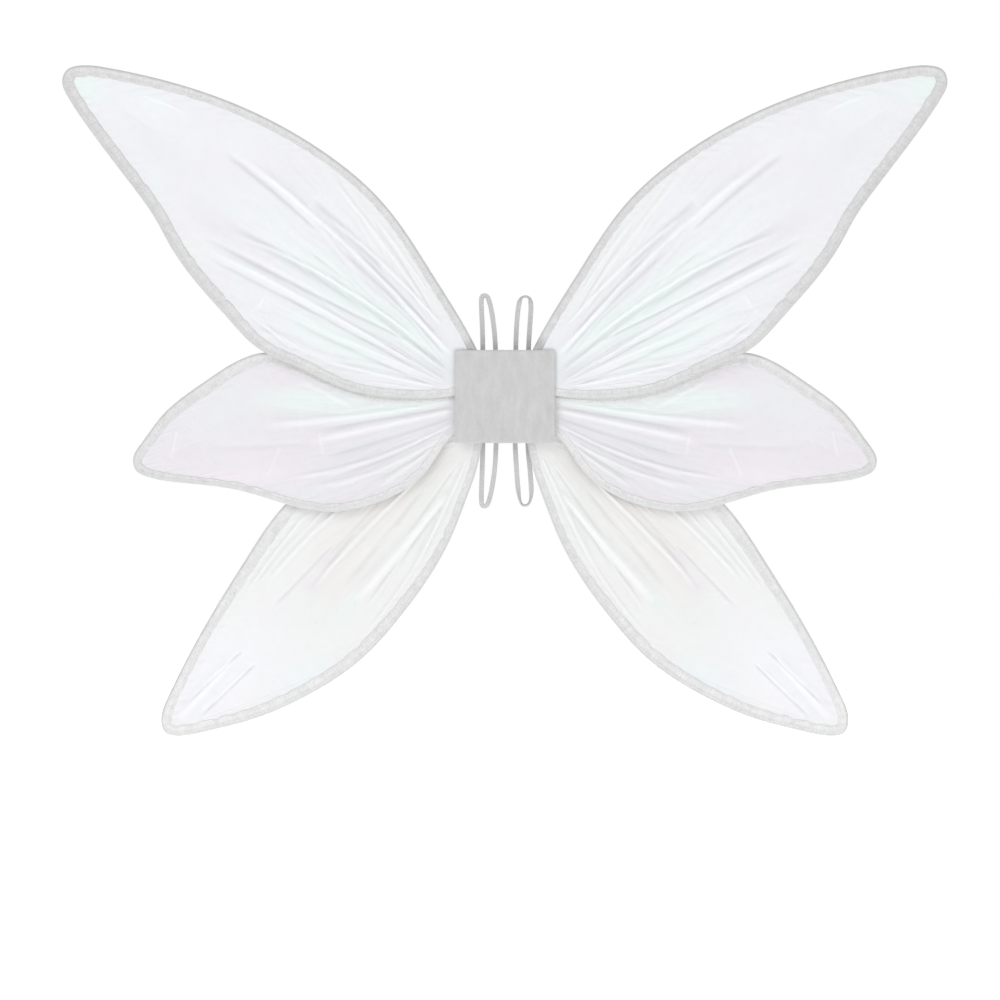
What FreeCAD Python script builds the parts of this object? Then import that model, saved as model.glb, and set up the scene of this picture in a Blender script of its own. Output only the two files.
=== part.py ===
import FreeCAD, Part
import math
import os

from FreeCAD import Vector

# Fairy wings: six wire-framed film lobes gathered in one felt pad, with two elastic arm loops.
# Millimetres. +X runs to the right side of the wings, +Z is up and +Y points at the wearer.
# The origin is the middle of the face of the pad that lies on the wearer's back.
# Every outline below is the right-hand side; the left side is its mirror image.

# ---- pad: two plain-cut felt squares with the wire roots between them --------------------
PAD_WIDTH = 68.2
PAD_HEIGHT = 63.4
FELT = 1.5
FELT_GAP = 8.2                      # space between the two felts, filled by roots and glue
FELT_CORNER = 0.8
BACK_INNER_Y = -FELT
FRONT_INNER_Y = -FELT - FELT_GAP
FRONT_OUTER_Y = FRONT_INNER_Y - FELT
TUCK = 4.0                          # how far hems and films reach in between the felts

# ---- wire, hem and film of one lobe --------------------------------------------------------
WIRE = 1.6                          # wire diameter
WIRE_INSET = 1.5                    # hem's outer edge to the wire's centre
PLY = 0.35                          # thickness of one ply of the hem tape
TUNNEL_HEIGHT = 1.7                 # room for the wire inside the folded tape
HEM_HEIGHT = TUNNEL_HEIGHT + 2 * PLY
TUNNEL_START = 0.4                  # the tape's fold, outside the tunnel
TUNNEL_END = 2.6
LIP_START = 3.4                     # past here the two plies lie flat on the film
FILM = 0.3
LIP_HEIGHT = FILM + 2 * PLY
FILM_INSET = 3.0

# ---- layers, from the wearer forward ------------------------------------------------------
LOWER_Y = -3.0
MIDDLE_Y = -5.65
UPPER_Y = -8.3

# ---- where the wires bend just outside the pad ----------------------------------------------
BEND_GAP = 1.0
UPPER_BEND_NORMAL = (0.81, 0.586)
UPPER_BEND_DISTANCE = 48.2
UPPER_REST_TILT = 3.0               # degrees forward, so the upper lobe clears the middle one
LOWER_BEND_NORMAL = (0.715, -0.699)
LOWER_BEND_DISTANCE = 48.0
LOWER_REST_TILT = 2.0               # degrees back, so the lower lobe clears the middle one

# ---- glue and ferrules ------------------------------------------------------------------------
GLUE_X = (9.0, 26.0)
GLUE_HALF_HEIGHT = 24.0
GLUE_CLEARANCE = 0.1
GLUE_ROUND = 1.5
FERRULE = 2.6                       # outer diameter of the crimped tube
FERRULE_LENGTH = 6.0

# ---- elastic arm loops --------------------------------------------------------------------------
STRAP_WIDTH = 3.4
STRAP_THICK = 1.0
STRAP_Y = 0.8                       # middle of the strip, just behind the back felt
STRAP_ARC_SHARE = 0.45              # share of the shorter run that the arc at a corner takes up
TACK_BARS = 5
TACK_THREAD = 0.4
TACK_PITCH = 1.1
TACK_START = 1.0                    # from the strip's end to its first thread
TACK_CLEARANCE = 0.08
TACK_FOOT = 0.1                     # the threads' feet, just off the felt

SAMPLES_PER_SPAN = 2                # how finely an inset follows its outline
FERRULE_SPANS = 8                   # how finely a ferrule follows the wire
FAR = 1000.0
DEEP = 40.0                         # depth of a cutting block, well past every layer

# Each lobe's outer edge, from inside the pad along the leading edge, round the tip and back.
# Hem widths are evenly spaced along the edge, with the tip's in the middle. The turn is where
# the wire goes round inside the pad to close its loop.
UPPER = {
    "edge": [
        (12.6, 18.0), (19.3, 32.5), (49.3, 83.2), (83.0, 131.6), (122.5, 165.6),
        (172.9, 194.0), (231.2, 214.4), (269.9, 222.8), (288.6, 224.2), (297.6, 220.8),
        (300.3, 213.0), (296.5, 203.0), (277.3, 174.8), (252.8, 142.5), (237.3, 120.4),
        (228.3, 103.9), (211.6, 79.7), (187.8, 52.5), (166.6, 31.9), (140.8, 19.8),
        (109.0, 5.4), (72.0, -1.0), (33.9, 0.4), (16.0, 4.0),
    ],
    "hem": (5.6, 5.6, 5.8, 6.4, 7.8, 8.0, 8.4, 6.0, 5.4),
    "turn": [(9.6, 12.0)],
}
MIDDLE = {
    "edge": [
        (16.0, 5.5), (33.9, 4.7), (54.0, 3.4), (72.0, 3.1), (88.0, 4.6), (104.0, 8.6),
        (119.0, 14.3), (134.0, 21.2), (148.0, 27.0), (161.8, 29.9), (177.6, 26.2),
        (203.8, 10.4), (233.5, -13.4), (247.4, -32.0), (253.0, -42.5), (251.0, -50.3),
        (243.5, -54.6), (223.9, -58.4), (183.8, -63.3), (147.5, -73.6), (119.0, -78.3),
        (90.4, -73.4), (66.0, -62.0), (49.0, -45.2), (33.9, -26.2), (20.0, -21.5),
    ],
    "hem": (7.0, 7.5, 7.8, 8.2, 6.2, 4.9, 5.2, 5.4, 4.8),
    "turn": [(11.0, -13.0)],
}
LOWER = {
    "edge": [
        (24.0, -19.6), (33.9, -24.8), (57.0, -29.6), (96.0, -39.5), (131.0, -57.0),
        (153.9, -78.1), (177.0, -111.5), (200.5, -149.3), (218.5, -181.8), (230.6, -206.4),
        (234.6, -219.5), (231.6, -229.3), (223.0, -231.5), (206.0, -228.9), (171.7, -220.0),
        (137.0, -205.0), (97.3, -178.6), (72.8, -152.0), (52.8, -124.8), (37.4, -97.6),
        (26.5, -70.4), (18.3, -46.0), (15.4, -32.7), (13.2, -24.0),
    ],
    "hem": (6.0, 8.4, 8.8, 6.4, 7.0, 8.0, 8.3, 5.6, 4.8),
    "turn": [(17.0, -17.8)],
}

# Middle line of each elastic strip, from its upper sewn end round both loops to the lower one.
RIGHT_STRAP = [
    (15.9, 20.0), (16.0, 31.0), (16.8, 46.0), (17.7, 57.0), (17.9, 63.2), (16.5, 68.2),
    (11.5, 68.2), (9.5, 63.4), (8.4, 54.0), (7.6, 41.0), (7.2, 20.0), (6.8, -6.0),
    (6.8, -28.0), (7.6, -44.0), (8.4, -56.0), (9.3, -66.0), (11.0, -74.2), (16.1, -74.2),
    (18.1, -68.6), (18.0, -61.0), (16.9, -47.0), (15.5, -34.0), (15.6, -20.0),
]
LEFT_STRAP = [
    (-15.0, 20.0), (-14.9, 32.0), (-15.3, 47.0), (-15.9, 59.0), (-16.0, 64.6), (-15.7, 68.8),
    (-12.0, 68.8), (-10.1, 63.5), (-8.3, 54.5), (-6.7, 41.0), (-5.9, 20.0), (-5.7, -6.0),
    (-5.8, -28.0), (-6.5, -46.0), (-8.0, -58.0), (-9.9, -68.0), (-12.0, -74.6),
    (-15.8, -74.6), (-16.1, -69.0), (-15.7, -58.0), (-15.2, -44.0), (-14.8, -32.0),
    (-15.1, -20.0),
]


def export(shape, name):
    """Write one node."""
    shape.exportStep("parts/" + name + ".step")
    print(name, "valid", shape.isValid(), "solids", len(shape.Solids), "mm3", round(shape.Volume, 1))


def in_plane(pair):
    """A point of the wings' own plane."""
    return Vector(pair[0], 0, pair[1])


def curve_through(points, closed=False):
    """Smooth curve through points."""
    curve = Part.BSplineCurve()
    curve.interpolate(Points=points, PeriodicFlag=closed)
    return curve


def width_at(fraction, widths):
    """Hem width at a share of the edge's length."""
    place = fraction * (len(widths) - 1)
    index = min(int(place), len(widths) - 2)
    share = place - index
    return widths[index] * (1 - share) + widths[index + 1] * share


def inset_points(edge, distance):
    """Points inside the edge curve by a distance, which may be a function of the place."""
    knots = edge.getKnots()
    places = [knots[0]]
    for low, high in zip(knots, knots[1:]):
        for step in range(1, SAMPLES_PER_SPAN + 1):
            places.append(low + (high - low) * step / SAMPLES_PER_SPAN)
    points = []
    for where in places:
        along = edge.tangent(where)[0]
        inward = Vector(along.z, 0, -along.x)
        fraction = (where - knots[0]) / (knots[-1] - knots[0])
        depth = distance(fraction) if callable(distance) else distance
        points.append(edge.value(where) + inward * depth)
    return points


def region(points):
    """Flat face inside a smooth edge, closed by a straight line inside the pad."""
    edge = curve_through(points).toShape()
    chord = Part.LineSegment(points[-1], points[0]).toShape()
    return Part.Face(Part.Wire([edge, chord]))


def strip(edge, near, far):
    """Flat band along the edge, between two insets from it."""
    near_points = inset_points(edge, near)
    far_points = inset_points(edge, far)
    sides = [
        curve_through(near_points).toShape(),
        Part.LineSegment(near_points[-1], far_points[-1]).toShape(),
        curve_through(far_points).toShape(),
        Part.LineSegment(far_points[0], near_points[0]).toShape(),
    ]
    return Part.Face(Part.Wire(sides))


def slab(face, height):
    """Face thickened equally to both sides of its plane."""
    lifted = face.translated(Vector(0, -height / 2, 0))
    return lifted.extrude(Vector(0, height, 0))


def round_bar(path, diameter):
    """Round bar along a smooth path in the plane."""
    start = path.value(path.FirstParameter)
    heading = path.tangent(path.FirstParameter)[0]
    ring = Part.Wire(Part.Circle(start, heading, diameter / 2).toShape())
    return Part.Wire(path.toShape()).makePipeShell([ring], True, False)


def pad_core():
    """The middle of the pad, which the hems and films stop short of."""
    half_width = PAD_WIDTH / 2 - TUCK
    half_height = PAD_HEIGHT / 2 - TUCK
    corner = Vector(-half_width, -DEEP / 2, -half_height)
    return Part.makeBox(2 * half_width, DEEP, 2 * half_height, corner)


def beyond(normal, distance):
    """Everything in the plane past a bend line."""
    block = Part.makeBox(FAR, DEEP, 2 * FAR, Vector(distance, -DEEP / 2, -FAR))
    angle = math.degrees(math.atan2(normal[1], normal[0]))
    block.rotate(Vector(0, 0, 0), Vector(0, -1, 0), angle)
    return block


def wire_path(lobe):
    """Closed line of the wire: round the lobe in the hem, and back inside the pad."""
    edge = curve_through([in_plane(pair) for pair in lobe["edge"]])
    turn = [in_plane(pair) for pair in lobe["turn"]]
    return curve_through(inset_points(edge, WIRE_INSET) + turn, True)


def make_hem(lobe):
    """Folded tape round the lobe: a tunnel for the wire, then two plies flat on the film."""
    edge = curve_through([in_plane(pair) for pair in lobe["edge"]])

    def tape_width(fraction):
        return width_at(fraction, lobe["hem"])

    lip = slab(strip(edge, WIRE_INSET, tape_width), LIP_HEIGHT)
    ridge = slab(strip(edge, 0.0, LIP_START), HEM_HEIGHT)
    tunnel = slab(strip(edge, TUNNEL_START, TUNNEL_END), TUNNEL_HEIGHT)
    slot = slab(region(inset_points(edge, WIRE_INSET)), FILM)
    return ridge.fuse(lip).cut(tunnel).cut(slot).cut(pad_core())


def make_film(lobe):
    """The film sheet, whose border is sewn in between the plies of the hem."""
    edge = curve_through([in_plane(pair) for pair in lobe["edge"]])
    return slab(region(inset_points(edge, FILM_INSET)), FILM).cut(pad_core())


def make_ferrule(lobe):
    """Crimped tube on the wire inside the pad, where its two ends meet."""
    path = wire_path(lobe)
    middle = path.parameter(in_plane(lobe["turn"][0]))
    length = path.length()
    before = path.length(path.FirstParameter, middle)
    low = path.parameterAtDistance(before - FERRULE_LENGTH / 2)
    high = path.parameterAtDistance(min(before + FERRULE_LENGTH / 2, length - 0.01))
    spans = FERRULE_SPANS
    points = [path.value(low + (high - low) * step / spans) for step in range(spans + 1)]
    return round_bar(curve_through(points), FERRULE)


def bend_axis(normal, forward):
    """Line direction about which the outer lobe turns; forward is away from the wearer."""
    if forward:
        return Vector(normal[1], 0, -normal[0])
    return Vector(-normal[1], 0, normal[0])


def split_at_bend(shape, normal, distance, tilt, forward):
    """Root piece, and outer piece turned by its rest tilt about the bend line."""
    root = shape.cut(beyond(normal, distance - BEND_GAP / 2))
    outer = shape.common(beyond(normal, distance + BEND_GAP / 2))
    pivot = Vector(normal[0] * distance, 0, normal[1] * distance)
    outer.rotate(pivot, bend_axis(normal, forward), tilt)
    return root, outer


def make_strap(points):
    """Flat elastic strip along straight runs and tangent arcs, sewn down at both ends."""
    corners = [in_plane(pair) for pair in points]
    pieces = []
    radii = []
    start = corners[0]
    for before, corner, after in zip(corners, corners[1:], corners[2:]):
        incoming = corner - before
        outgoing = after - corner
        turn = incoming.getAngle(outgoing)
        trim = STRAP_ARC_SHARE * min(incoming.Length, outgoing.Length)
        radius = trim / math.tan(turn / 2)
        radii.append(round(radius, 1))
        arc_start = corner - incoming * (trim / incoming.Length)
        arc_end = corner + outgoing * (trim / outgoing.Length)
        bisector = (arc_start + arc_end) * 0.5 - corner
        to_centre = bisector * (math.hypot(trim, radius) / bisector.Length)
        centre = corner + to_centre
        crown = centre - to_centre * (radius / to_centre.Length)
        pieces.append(Part.LineSegment(start, arc_start).toShape())
        pieces.append(Part.Arc(arc_start, crown, arc_end).toShape())
        start = arc_end
    pieces.append(Part.LineSegment(start, corners[-1]).toShape())
    line = Part.Wire(pieces)
    half = STRAP_WIDTH / 2
    deep = STRAP_THICK / 2
    foot = corners[0]
    ring = Part.makePolygon([
        foot + Vector(-half, -deep, 0), foot + Vector(half, -deep, 0),
        foot + Vector(half, deep, 0), foot + Vector(-half, deep, 0),
        foot + Vector(-half, -deep, 0),
    ])
    band = line.makePipeShell([ring], True, False)
    expected = line.Length * STRAP_WIDTH * STRAP_THICK
    print("strap radii", radii, "length", round(line.Length, 1), "volume ratio",
          round(band.Volume / expected, 4))
    return band.translated(Vector(0, STRAP_Y, 0))


def make_tacks(points):
    """Bar-tack threads over both sewn ends of a strip, each thread a staple round the strip."""
    threads = []
    half = STRAP_WIDTH / 2 + TACK_THREAD / 2 + TACK_CLEARANCE
    top = STRAP_Y + STRAP_THICK / 2 + TACK_THREAD / 2 + TACK_CLEARANCE
    radius = TACK_THREAD / 2
    for end, after in ((points[0], points[1]), (points[-1], points[-2])):
        run = (in_plane(after) - in_plane(end)).normalize()
        for bar in range(TACK_BARS):
            middle = in_plane(end) + run * (TACK_START + bar * TACK_PITCH)
            left = middle - Vector(half, 0, 0)
            right = middle + Vector(half, 0, 0)
            span = Part.makeCylinder(radius, 2 * half, left + Vector(0, top, 0), Vector(1, 0, 0))
            legs = [Part.makeCylinder(radius, top - TACK_FOOT, foot + Vector(0, TACK_FOOT, 0),
                                      Vector(0, 1, 0)) for foot in (left, right)]
            knees = [Part.makeSphere(radius, foot + Vector(0, top, 0)) for foot in (left, right)]
            threads.append(span.fuse(legs + knees))
    return Part.makeCompound(threads)


def make_felt(inner_y, outward):
    """One felt square of the pad."""
    low = min(inner_y, inner_y + outward * FELT)
    block = Part.makeBox(PAD_WIDTH, FELT, PAD_HEIGHT, Vector(-PAD_WIDTH / 2, low, -PAD_HEIGHT / 2))
    upright = [edge for edge in block.Edges if abs(edge.tangentAt(edge.FirstParameter).y) > 0.9]
    return block.makeFillet(FELT_CORNER, upright)


def make_glue(buried):
    """Hot-melt block that holds one side's wire roots between the felts."""
    low = FRONT_INNER_Y + GLUE_CLEARANCE
    depth = FELT_GAP - 2 * GLUE_CLEARANCE
    corner = Vector(GLUE_X[0], low, -GLUE_HALF_HEIGHT)
    block = Part.makeBox(GLUE_X[1] - GLUE_X[0], depth, 2 * GLUE_HALF_HEIGHT, corner)
    rounded = block.makeFillet(GLUE_ROUND, block.Edges)
    return rounded.cut(buried)


def make_side():
    """Every piece of the right side that has a mirror image on the left."""
    pieces = {}
    wires = []
    ferrules = []
    layers = (
        ("upper", UPPER, UPPER_Y, UPPER_BEND_NORMAL, UPPER_BEND_DISTANCE, UPPER_REST_TILT, True),
        ("lower", LOWER, LOWER_Y, LOWER_BEND_NORMAL, LOWER_BEND_DISTANCE, LOWER_REST_TILT, False),
        ("middle", MIDDLE, MIDDLE_Y, None, None, None, None),
    )
    for title, lobe, depth, normal, distance, tilt, forward in layers:
        place = Vector(0, depth, 0)
        made = {
            "wire": round_bar(wire_path(lobe), WIRE),
            "hem": make_hem(lobe),
            "film": make_film(lobe),
        }
        tube = make_ferrule(lobe).translated(place)
        wires.append(made["wire"].translated(place))
        ferrules.append(tube)
        for kind, shape in made.items():
            if normal is None:
                pieces[title + "_" + kind] = shape.translated(place)
                continue
            root, outer = split_at_bend(shape, normal, distance, tilt, forward)
            pieces[title + "_" + kind + "_root"] = root.translated(place)
            pieces[title + "_" + kind] = outer.translated(place)
    pieces["glue"] = make_glue(wires + ferrules)
    hollow = [tube.cut(wire) for tube, wire in zip(ferrules, wires)]
    pieces["ferrules"] = Part.makeCompound(hollow)
    return pieces


def main():
    """Write every node of the wings."""
    os.makedirs("parts", exist_ok=True)
    export(make_felt(FRONT_INNER_Y, -1), "front_felt")
    export(make_felt(BACK_INNER_Y, 1), "back_felt")
    for name, shape in make_side().items():
        export(shape, "right_" + name)
        export(shape.mirror(Vector(0, 0, 0), Vector(1, 0, 0)), "left_" + name)
    for side, route in (("right", RIGHT_STRAP), ("left", LEFT_STRAP)):
        export(make_strap(route), side + "_strap")
        export(make_tacks(route), side + "_strap_tacks")


main()
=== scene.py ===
import math

import bpy
import numpy as np
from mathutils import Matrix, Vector


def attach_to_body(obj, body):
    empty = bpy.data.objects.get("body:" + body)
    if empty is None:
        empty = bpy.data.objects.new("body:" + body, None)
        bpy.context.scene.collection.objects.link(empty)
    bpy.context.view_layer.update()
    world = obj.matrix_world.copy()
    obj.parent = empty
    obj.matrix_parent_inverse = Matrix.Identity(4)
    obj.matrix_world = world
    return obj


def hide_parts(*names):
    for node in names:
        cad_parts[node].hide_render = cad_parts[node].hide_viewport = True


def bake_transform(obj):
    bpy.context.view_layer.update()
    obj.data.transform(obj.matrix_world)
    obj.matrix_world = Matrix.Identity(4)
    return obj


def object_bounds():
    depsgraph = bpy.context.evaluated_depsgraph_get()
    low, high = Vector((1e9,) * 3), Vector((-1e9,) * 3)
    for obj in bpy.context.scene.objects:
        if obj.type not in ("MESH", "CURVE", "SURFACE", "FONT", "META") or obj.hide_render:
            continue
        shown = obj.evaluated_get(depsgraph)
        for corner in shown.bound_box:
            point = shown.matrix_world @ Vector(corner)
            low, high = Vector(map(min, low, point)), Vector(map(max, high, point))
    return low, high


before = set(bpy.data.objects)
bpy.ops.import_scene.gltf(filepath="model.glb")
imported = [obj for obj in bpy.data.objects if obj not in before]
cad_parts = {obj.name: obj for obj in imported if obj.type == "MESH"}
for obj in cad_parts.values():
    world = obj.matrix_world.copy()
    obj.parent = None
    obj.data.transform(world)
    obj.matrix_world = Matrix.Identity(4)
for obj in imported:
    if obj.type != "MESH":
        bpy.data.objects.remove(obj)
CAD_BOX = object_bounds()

# Fairy wings. Outlines are worked in millimetres in the wings' own plane, (X, Z) on the right-hand
# side, and turned into metres when a mesh is made. Height is how far a point stands in front of
# its lobe's plane, towards -Y, away from the wearer.
MM = 0.001
SIDES = (("right", 1.0), ("left", -1.0))

# ---- sizes shared with the solid model ----
LOBES = {
    "upper": {
        "edge": [
            (12.6, 18.0), (19.3, 32.5), (49.3, 83.2), (83.0, 131.6), (122.5, 165.6),
            (172.9, 194.0), (231.2, 214.4), (269.9, 222.8), (288.6, 224.2), (297.6, 220.8),
            (300.3, 213.0), (296.5, 203.0), (277.3, 174.8), (252.8, 142.5), (237.3, 120.4),
            (228.3, 103.9), (211.6, 79.7), (187.8, 52.5), (166.6, 31.9), (140.8, 19.8),
            (109.0, 5.4), (72.0, -1.0), (33.9, 0.4), (16.0, 4.0),
        ],
        "hem": (5.6, 5.6, 5.8, 6.4, 7.8, 8.0, 8.4, 6.0, 5.4),
        "plane": -8.3,
        "bend": ((0.81, 0.586), 48.2, 3.0, -1.0),
        "focus": (22.0, 3.0),
    },
    "middle": {
        "edge": [
            (16.0, 5.5), (33.9, 4.7), (54.0, 3.4), (72.0, 3.1), (88.0, 4.6), (104.0, 8.6),
            (119.0, 14.3), (134.0, 21.2), (148.0, 27.0), (161.8, 29.9), (177.6, 26.2),
            (203.8, 10.4), (233.5, -13.4), (247.4, -32.0), (253.0, -42.5), (251.0, -50.3),
            (243.5, -54.6), (223.9, -58.4), (183.8, -63.3), (147.5, -73.6), (119.0, -78.3),
            (90.4, -73.4), (66.0, -62.0), (49.0, -45.2), (33.9, -26.2), (20.0, -21.5),
        ],
        "hem": (7.0, 7.5, 7.8, 8.2, 6.2, 4.9, 5.2, 5.4, 4.8),
        "plane": -5.65,
        "bend": None,
        "focus": (14.0, -8.0),
    },
    "lower": {
        "edge": [
            (24.0, -19.6), (33.9, -24.8), (57.0, -29.6), (96.0, -39.5), (131.0, -57.0),
            (153.9, -78.1), (177.0, -111.5), (200.5, -149.3), (218.5, -181.8), (230.6, -206.4),
            (234.6, -219.5), (231.6, -229.3), (223.0, -231.5), (206.0, -228.9), (171.7, -220.0),
            (137.0, -205.0), (97.3, -178.6), (72.8, -152.0), (52.8, -124.8), (37.4, -97.6),
            (26.5, -70.4), (18.3, -46.0), (15.4, -32.7), (13.2, -24.0),
        ],
        "hem": (6.0, 8.4, 8.8, 6.4, 7.0, 8.0, 8.3, 5.6, 4.8),
        "plane": -3.0,
        "bend": ((0.715, -0.699), 48.0, 2.0, 1.0),
        "focus": (14.0, -14.0),
    },
}
PAD_HALF_WIDTH = 34.1
PAD_HALF_HEIGHT = 31.7
TUCK = 4.0
PAD_BORDER_PAINTED_LIGHT = 0.07              # painted light: how much film and tape are brightened at the pad's border, against the felts' shade
PAD_BORDER_LIGHT_FADE = 5.0
FELT = 1.5
FELT_GAP = 8.2
STRAP_WIDTH = 3.4
STRAP_THICK = 1.0
STRAP_Y = 0.8
SOFT_BEND = 2.0

STRAPS = {
    "right": [
        (15.9, 20.0), (16.0, 31.0), (16.8, 46.0), (17.7, 57.0), (17.9, 63.2), (16.5, 68.2),
        (11.5, 68.2), (9.5, 63.4), (8.4, 54.0), (7.6, 41.0), (7.2, 20.0), (6.8, -6.0),
        (6.8, -28.0), (7.6, -44.0), (8.4, -56.0), (9.3, -66.0), (11.0, -74.2), (16.1, -74.2),
        (18.1, -68.6), (18.0, -61.0), (16.9, -47.0), (15.5, -34.0), (15.6, -20.0),
    ],
    "left": [
        (-15.0, 20.0), (-14.9, 32.0), (-15.3, 47.0), (-15.9, 59.0), (-16.0, 64.6), (-15.7, 68.8),
        (-12.0, 68.8), (-10.1, 63.5), (-8.3, 54.5), (-6.7, 41.0), (-5.9, 20.0), (-5.7, -6.0),
        (-5.8, -28.0), (-6.5, -46.0), (-8.0, -58.0), (-9.9, -68.0), (-12.0, -74.6),
        (-15.8, -74.6), (-16.1, -69.0), (-15.7, -58.0), (-15.2, -44.0), (-14.8, -32.0),
        (-15.1, -20.0),
    ],
}
# Painted light and shade on each hem's tape: how bright it is at even steps along it.
HEM_PAINTED_LIGHT_AND_SHADE = {
    "upper": (0.95, 0.96, 0.97, 0.97, 0.95, 0.95, 0.98, 1.04, 1.08),
    "middle": (1.04, 1.02, 1.0, 0.96, 0.96, 1.0, 1.03, 1.05, 1.05),
    "lower": (1.0, 0.99, 0.98, 1.0, 1.06, 1.04, 1.0, 0.98, 1.0),
}
# Painted shade where the upper hems bunch into the pad: where, over what radius and how strongly.
CORNER_SHADE_PLACE = (24.0, 34.5)
CORNER_SHADE_RADIUS = 4.2
CORNER_SHADE_STRENGTH = 0.30
# Where each strip starts and ends turning on edge, in millimetres above the middle, how far it
# turns in degrees, and how the first two shift below the middle.
STRAP_TWIST = {"right": (62.0, 68.5, 74), "left": (64.0, 69.0, 28)}
TWIST_SHIFT = (-4.0, 4.5)

# Tension folds of each film: where one starts, its heading in degrees, length and bow in
# millimetres, its half width at either end, and how strong it is, above 0 for a ridge with a
# painted highlight and below 0 for a trough with painted shade.
FOLDS = {
    "upper": [
        ((66, 44), 29, 142, 6, 0.8, 1.3, 1.0), ((64, 24), 29, 160, 2, 0.9, 1.6, 0.8),
        ((42, 11), 32, 30, 0, 0.8, 0.9, 0.7), ((44, 50), 43, 114, 3, 0.8, 1.5, 0.9),
        ((43, 36), 43, 192, 5, 0.9, 1.8, 0.8), ((53, 72), 54, 66, 1, 0.6, 0.9, 0.7),
        ((57, 68), 53, 104, 1, 0.7, 1.2, 0.6), ((47, 7), 13, 81, -1, 0.9, 1.4, 0.8),
        ((41, 18), 37, 83, 0, 0.8, 1.6, 0.5), ((41, 9), 24, 83, 0, 0.8, 1.5, 0.5),
        ((37, 30), 44, 54, 0, 1.6, 2.2, 0.5), ((135, 30), 32, 45, 0, 0.6, 1.0, 0.5),
        ((149, 35), 47, 30, 0, 0.5, 0.7, 0.4), ((42, 22), 33, 181, 3, 2.0, 3.4, -0.6),
        ((68, 39), 27, 156, -1, 0.8, 1.8, -0.8), ((62, 20), 28, 163, 1, 0.7, 1.6, -0.7),
        ((85, 89), 44, 69, 1, 2.0, 3.4, -0.5), ((42, 30), 45, 106, 2, 0.8, 1.3, -0.6),
        ((130, 115), 40, 83, 1, 1.2, 2.4, -0.6), ((49, 45), 46, 78, 1, 0.7, 1.2, -0.5),
        ((44, 5), 25, 115, -1, 0.8, 1.8, -0.4), ((65, 10), 12, 65, 0, 0.7, 1.2, -0.5),
        ((51, 60), 57, 66, 1, 0.7, 1.2, -0.4), ((103, 76), 37, 40, 0, 0.5, 0.7, -0.5),
        ((146, 32), 39, 38, 0, 0.6, 0.9, -0.4),
    ],
    "middle": [
        ((34, -9), -12, 104, 0, 1.6, 2.6, 1.0), ((35, -3), -7, 138, -2, 0.9, 2.8, 0.7),
        ((36, -19), -18, 121, -6, 1.0, 1.3, 0.9), ((44, -29), -23, 87, -3, 1.0, 1.6, 0.7),
        ((49, -35), -35, 47, -1, 0.9, 1.4, 0.7), ((80, -50), -13, 56, 0, 0.8, 1.2, 0.4),
        ((65, -35), -18, 64, -1, 0.7, 1.1, 0.5), ((137, 11), 208, 43, 0, 1.8, 1.6, 0.3),
        ((37, -7), -10, 95, 0, 0.9, 1.6, -0.5), ((36, -14), -17, 94, -1, 1.4, 2.6, -0.5),
        ((41, -23), -23, 77, -2, 0.9, 1.5, -0.5), ((47, -33), -30, 50, -1, 0.8, 1.2, -0.5),
        ((35, 0), -4, 65, 0, 0.7, 1.4, -0.4), ((135, -32), -2, 72, -1, 1.6, 3.0, -0.2),
    ],
    "lower": [
        ((26, -43), -64, 83, -1, 0.8, 1.4, 0.8), ((39, -74), -57, 110, -4, 0.6, 1.0, 0.7),
        ((41, -68), -49, 99, -1, 1.8, 3.6, 1.0), ((49, -78), -56, 84, 0, 0.7, 1.2, 0.5),
        ((54, -50), -46, 118, 1, 1.0, 1.6, 0.9), ((65, -48), -42, 51, 1, 0.9, 1.0, 0.5),
        ((115, -78), -46, 67, 1, 1.0, 1.5, 0.9), ((124, -78), -49, 72, 1, 0.8, 1.2, 0.7),
        ((135, -80), -52, 68, 1, 0.8, 1.2, 0.7), ((145, -84), -54, 56, 1, 0.7, 1.0, 0.5),
        ((47, -36), -39, 44, 0, 0.9, 1.2, 0.6), ((187, -180), -48, 54, 0, 2.0, 2.6, 0.8),
        ((176, -186), -45, 35, 0, 1.2, 1.6, 0.4), ((180, -174), -44, 54, 0, 0.8, 1.0, -0.7),
        ((171, -183), -44, 54, 0, 0.8, 1.1, -0.7), ((118, -102), -46, 60, 0, 0.8, 1.3, -0.5),
        ((103, -93), -52, 52, 0, 1.2, 1.6, -0.4), ((58, -66), -51, 85, 0, 1.6, 2.4, -0.4),
        ((43, -75), -52, 77, 0, 0.9, 1.2, -0.4), ((35, -50), -55, 63, 0, 0.9, 1.4, -0.4),
        ((129, -82), -50, 69, 0, 0.5, 0.7, -0.5), ((141, -84), -53, 62, 0, 0.5, 0.7, -0.4),
        ((76, -61), -47, 73, 0, 0.9, 1.3, -0.3),
    ],
}

# Short sharp creases, raised with a painted highlight: start, heading in degrees, length and
# strength.
CREASES = {
    "upper": [
        ((161, 69), -48, 15, 1.0), ((171, 58), 204, 10, 0.4), ((126, 138), -55, 16, 0.7),
        ((226, 197), 21, 19, 0.5), ((219, 193), 29, 18, 0.4),
    ],
    "middle": [
        ((126, -25), -99, 13, 0.8), ((153, -35), -65, 19, 1.0), ((223, -24), -77, 17, 0.9),
        ((139, -9), -94, 15, 0.35),
    ],
    "lower": [((75, -89), -48, 16, 0.6)],
}

# Colours are screen values out of 255.
BASE_TINT = {"upper": (240, 240, 244), "middle": (237, 234, 239), "lower": (242, 243, 241)}
# Painted highlight on the films' fold ridges and painted shade in their troughs.
RIDGE_PAINTED_HIGHLIGHT = (252, 254, 254)
TROUGH_PAINTED_SHADE = (207, 208, 213)
# How much of its tint each film keeps, to make up for the lights.
FILM_RETURN = {
    "upper": (0.975, 0.980, 0.972), "middle": (0.975, 0.978, 0.970), "lower": (0.970, 0.967, 0.975),
}

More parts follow.
